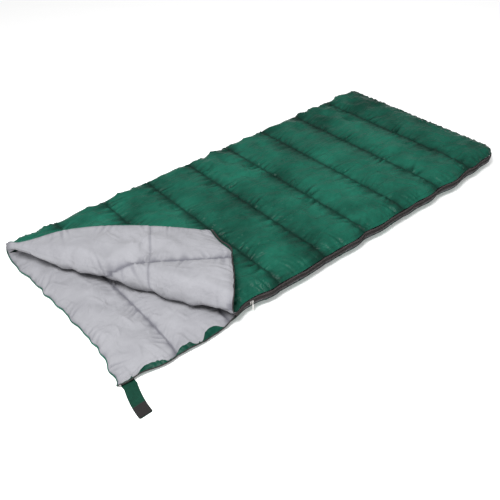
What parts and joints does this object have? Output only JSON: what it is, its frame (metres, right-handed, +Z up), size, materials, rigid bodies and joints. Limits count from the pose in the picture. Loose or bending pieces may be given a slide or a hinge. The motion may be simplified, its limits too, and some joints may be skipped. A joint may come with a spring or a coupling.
{
  "type": "rectangular sleeping bag",
  "caption": "Rectangular quilted sleeping bag lying flat, zipped along one side and the foot, with one head corner folded back and a hook-and-loop strap.",
  "frame": {"origin": "middle of the underside of the lower quilt, on the ground", "axes": "+X along the bag from the head to the foot, -Y towards the zip side and +Y towards the folded side, +Z up"},
  "size_m": [1.9146, 0.9906, 0.1455],
  "materials": {
    "shell_fabric": "dark green woven polyester taffeta, slight sheen",
    "lining_fabric": "light grey brushed polyester, matt",
    "fill_batting": "white bonded polyester fibre",
    "zip_tape": "charcoal knitted zip tape, matt",
    "zip_coil": "black nylon coil, satin",
    "zip_metal": "nickel-plated die casting, worn satin",
    "strap_webbing": "dark green flat webbing, matt",
    "hook_and_loop": "black hook-and-loop tape, matt"
  },
  "bodies": {
    "bag": {"lower_shell": "shell_fabric", "upper_shell": "shell_fabric", "side_fold_shell": "shell_fabric", "lower_lining": "lining_fabric", "upper_lining": "lining_fabric", "side_fold_lining": "lining_fabric", "flap_crease_roll": "lining_fabric", "lower_fill_1": "fill_batting", "lower_fill_2": "fill_batting", "lower_fill_3": "fill_batting", "lower_fill_4": "fill_batting", "lower_fill_5": "fill_batting", "lower_fill_6": "fill_batting", "lower_fill_7": "fill_batting", "lower_fill_8": "fill_batting", "lower_fill_9": "fill_batting", "upper_fill_1": "fill_batting", "upper_fill_2": "fill_batting", "upper_fill_3": "fill_batting", "upper_fill_4": "fill_batting", "upper_fill_5": "fill_batting", "upper_fill_6": "fill_batting", "upper_fill_7": "fill_batting", "upper_fill_8": "fill_batting", "upper_fill_9": "fill_batting", "side_fold_fill": "fill_batting", "lower_zip_tape": "zip_tape", "upper_zip_tape": "zip_tape", "lower_zip_coil": "zip_coil", "upper_zip_coil": "zip_coil", "lower_zip_stop": "zip_metal", "zip_end_stop": "zip_metal"},
    "flap": {"flap_shell": "shell_fabric", "flap_lining": "lining_fabric", "flap_fill_1": "fill_batting", "flap_fill_2": "fill_batting", "flap_zip_tape": "zip_tape", "flap_zip_coil": "zip_coil", "flap_zip_stop": "zip_metal", "loop_patch": "hook_and_loop"},
    "slider": {"slider_body": "zip_metal", "slider_bail": "zip_metal"},
    "pull": {"pull_ring": "zip_metal", "pull_tab": "zip_metal"},
    "strap_inner": {"strap_base": "strap_webbing"},
    "strap_outer": {"strap_tip": "strap_webbing", "hook_patch": "hook_and_loop"}
  },
  "joints": [
    {"name": "flap_fold", "type": "hinge", "parent": "bag", "child": "flap", "pos_m": [-0.9525, 0.3845, 0.0966], "axis": [0.4485, -0.8938, 0], "range_deg": [0, 180], "deforming": ["flap_crease_roll"]},
    {"name": "slider_travel", "type": "slide", "parent": "bag", "child": "slider", "axis": [1, 0, 0], "range_m": [-0.508, 1.306]},
    {"name": "pull_swing", "type": "hinge", "parent": "slider", "child": "pull", "pos_m": [-0.437, -0.4424, 0.047], "axis": [-1, 0, 0], "range_deg": [-8, 160]},
    {"name": "strap_lift", "type": "hinge", "parent": "bag", "child": "strap_inner", "pos_m": [-0.915, -0.4364, 0.0255], "axis": [-1, 0, 0], "range_deg": [0, 88]},
    {"name": "strap_wrap", "type": "hinge", "parent": "strap_inner", "child": "strap_outer", "pos_m": [-0.9194, -0.4944, 0.0019], "axis": [-1, 0, 0], "range_deg": [0, 80]}
  ]
}
